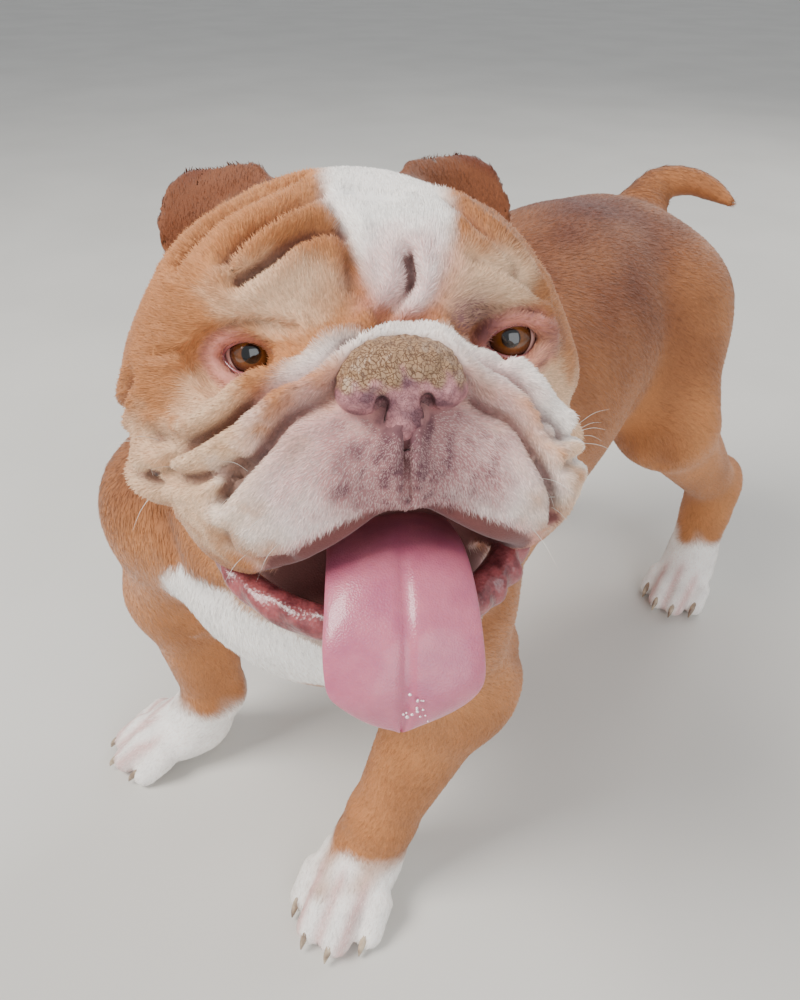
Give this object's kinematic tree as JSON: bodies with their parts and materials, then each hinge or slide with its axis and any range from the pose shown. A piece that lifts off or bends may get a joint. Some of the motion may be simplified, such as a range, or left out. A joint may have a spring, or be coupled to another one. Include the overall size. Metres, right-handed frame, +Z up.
{
  "type": "english bulldog",
  "caption": "Still, life-size model of a heavy short-faced dog in mid stride, head turned to its left, mouth open and tongue hanging out.",
  "frame": {"origin": "middle of the bounding box at floor level", "axes": "+Z up, the body runs along Y with the chest towards -Y, and the dog's left side is towards +X"},
  "size_m": [0.3232, 0.5386, 0.4431],
  "materials": {
    "coat_fawn": "short smooth coat, red-brown to fawn",
    "coat_white": "short smooth coat, white to cream",
    "eye": "wet gloss, amber-brown iris and dark pupil",
    "lid": "bare moist skin, pink-red",
    "nose": "rough dry top, moist pink-mauve wings",
    "mouth": "wet pink skin",
    "claw": "satin horn"
  },
  "bodies": {
    "root": {"claw_fore_left_1": "claw", "claw_fore_left_2": "claw", "claw_fore_left_3": "claw", "claw_fore_left_4": "claw", "claw_fore_right_1": "claw", "claw_fore_right_2": "claw", "claw_fore_right_3": "claw", "claw_fore_right_4": "claw", "claw_hind_left_1": "claw", "claw_hind_left_2": "claw", "claw_hind_left_3": "claw", "claw_hind_left_4": "claw", "claw_hind_right_1": "claw", "claw_hind_right_2": "claw", "claw_hind_right_3": "claw", "claw_hind_right_4": "claw", "ear_left": "coat_fawn", "ear_right": "coat_fawn", "eye_left": "eye", "eye_right": "eye", "foreleg_left": "coat_fawn", "foreleg_right": "coat_fawn", "forepaw_left": "coat_white", "forepaw_right": "coat_white", "head": "coat_fawn", "hindleg_left": "coat_fawn", "hindleg_right": "coat_fawn", "hindpaw_left": "coat_white", "hindpaw_right": "coat_white", "lids_left": "lid", "lids_right": "lid", "lower_lip": "mouth", "neck": "coat_fawn", "nose": "nose", "tail": "coat_fawn", "thigh_left": "coat_fawn", "thigh_right": "coat_fawn", "tongue": "mouth", "torso": "coat_fawn"}
  },
  "joints": []
}
